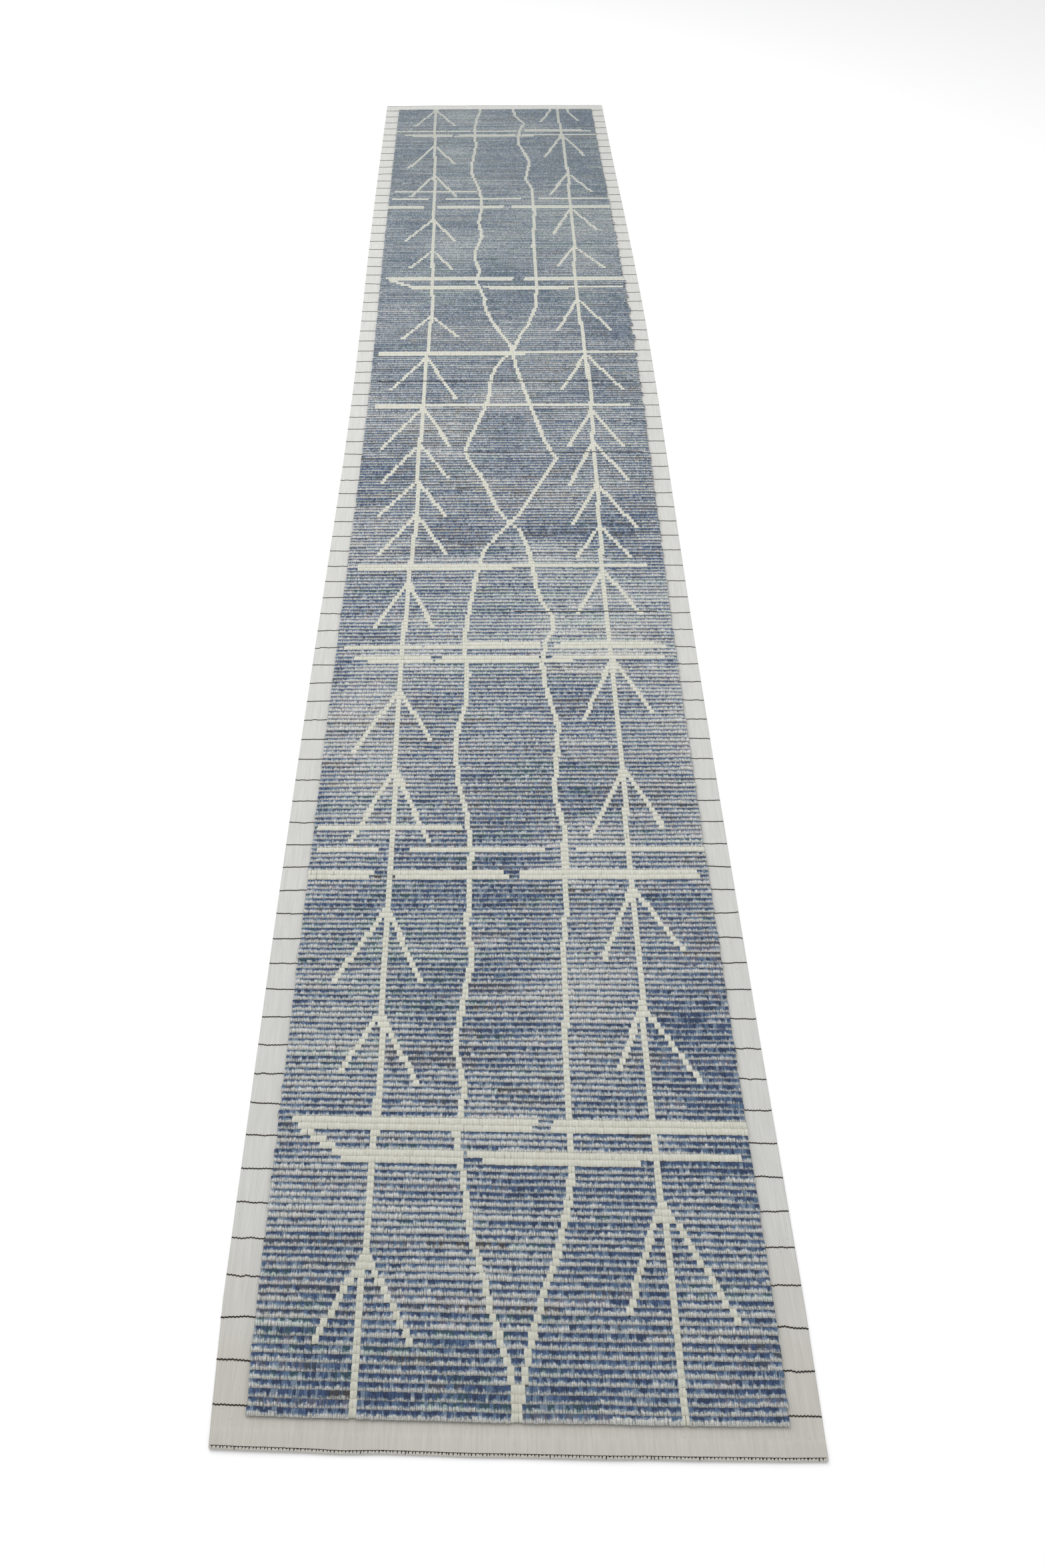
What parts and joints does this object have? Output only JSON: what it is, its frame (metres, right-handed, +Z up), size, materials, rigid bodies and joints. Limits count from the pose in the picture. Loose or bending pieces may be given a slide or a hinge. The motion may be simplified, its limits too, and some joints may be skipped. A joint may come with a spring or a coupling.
{
  "type": "runner rug",
  "caption": "Long narrow hand-knotted wool runner rug: indigo pile crossed by ivory branching stems, wandering lines and broken bars, on a flat-woven ivory ground with hemmed, overcast ends.",
  "frame": {"origin": "on the floor, under the centre of the rug", "axes": "+X across the rug to its right side, +Y along the rug from the near end to the far end, +Z up through the pile"},
  "size_m": [0.8, 4.6, 0.009],
  "materials": {
    "ground_wool": "matt flat weave of undyed ivory wool, finely ribbed along the length, with thin brown-black weft lines",
    "indigo_pile_wool": "soft cut wool pile in rows, dark indigo at the root, fading through light blue to ivory tips, uneven dye",
    "ivory_pile_wool": "soft cut wool pile of undyed ivory yarn, standing in chunky knots",
    "dark_thread": "matt brown-black wool thread, overcast in small slanting stitches"
  },
  "bodies": {
    "root": {"ground_weave": "ground_wool", "indigo_pile_centre_1": "indigo_pile_wool", "indigo_pile_centre_2": "indigo_pile_wool", "indigo_pile_centre_3": "indigo_pile_wool", "indigo_pile_centre_4": "indigo_pile_wool", "indigo_pile_centre_5": "indigo_pile_wool", "indigo_pile_centre_6": "indigo_pile_wool", "indigo_pile_centre_7": "indigo_pile_wool", "indigo_pile_left_1": "indigo_pile_wool", "indigo_pile_left_10": "indigo_pile_wool", "indigo_pile_left_2": "indigo_pile_wool", "indigo_pile_left_3": "indigo_pile_wool", "indigo_pile_left_4": "indigo_pile_wool", "indigo_pile_left_5": "indigo_pile_wool", "indigo_pile_left_6": "indigo_pile_wool", "indigo_pile_left_7": "indigo_pile_wool", "indigo_pile_left_8": "indigo_pile_wool", "indigo_pile_left_9": "indigo_pile_wool", "indigo_pile_left_edge_1": "indigo_pile_wool", "indigo_pile_left_edge_2": "indigo_pile_wool", "indigo_pile_left_edge_3": "indigo_pile_wool", "indigo_pile_left_edge_4": "indigo_pile_wool", "indigo_pile_left_edge_5": "indigo_pile_wool", "indigo_pile_left_edge_6": "indigo_pile_wool", "indigo_pile_right_1": "indigo_pile_wool", "indigo_pile_right_10": "indigo_pile_wool", "indigo_pile_right_11": "indigo_pile_wool", "indigo_pile_right_12": "indigo_pile_wool", "indigo_pile_right_2": "indigo_pile_wool", "indigo_pile_right_3": "indigo_pile_wool", "indigo_pile_right_4": "indigo_pile_wool", "indigo_pile_right_5": "indigo_pile_wool", "indigo_pile_right_6": "indigo_pile_wool", "indigo_pile_right_7": "indigo_pile_wool", "indigo_pile_right_8": "indigo_pile_wool", "indigo_pile_right_9": "indigo_pile_wool", "indigo_pile_right_edge_1": "indigo_pile_wool", "indigo_pile_right_edge_2": "indigo_pile_wool", "indigo_pile_right_edge_3": "indigo_pile_wool", "indigo_pile_right_edge_4": "indigo_pile_wool", "indigo_pile_right_edge_5": "indigo_pile_wool", "indigo_pile_right_edge_6": "indigo_pile_wool", "indigo_pile_right_edge_7": "indigo_pile_wool", "indigo_pile_right_edge_8": "indigo_pile_wool", "ivory_pile_drawing": "ivory_pile_wool", "ivory_pile_loose_bar_1": "ivory_pile_wool", "ivory_pile_loose_bar_2": "ivory_pile_wool", "ivory_pile_loose_bar_3": "ivory_pile_wool", "ivory_pile_loose_bar_4": "ivory_pile_wool", "ivory_pile_loose_bar_5": "ivory_pile_wool", "ivory_pile_loose_bar_6": "ivory_pile_wool", "ivory_pile_loose_bar_7": "ivory_pile_wool", "ivory_pile_loose_bar_8": "ivory_pile_wool", "overcast_thread_far": "dark_thread", "overcast_thread_near": "dark_thread"}
  },
  "joints": []
}
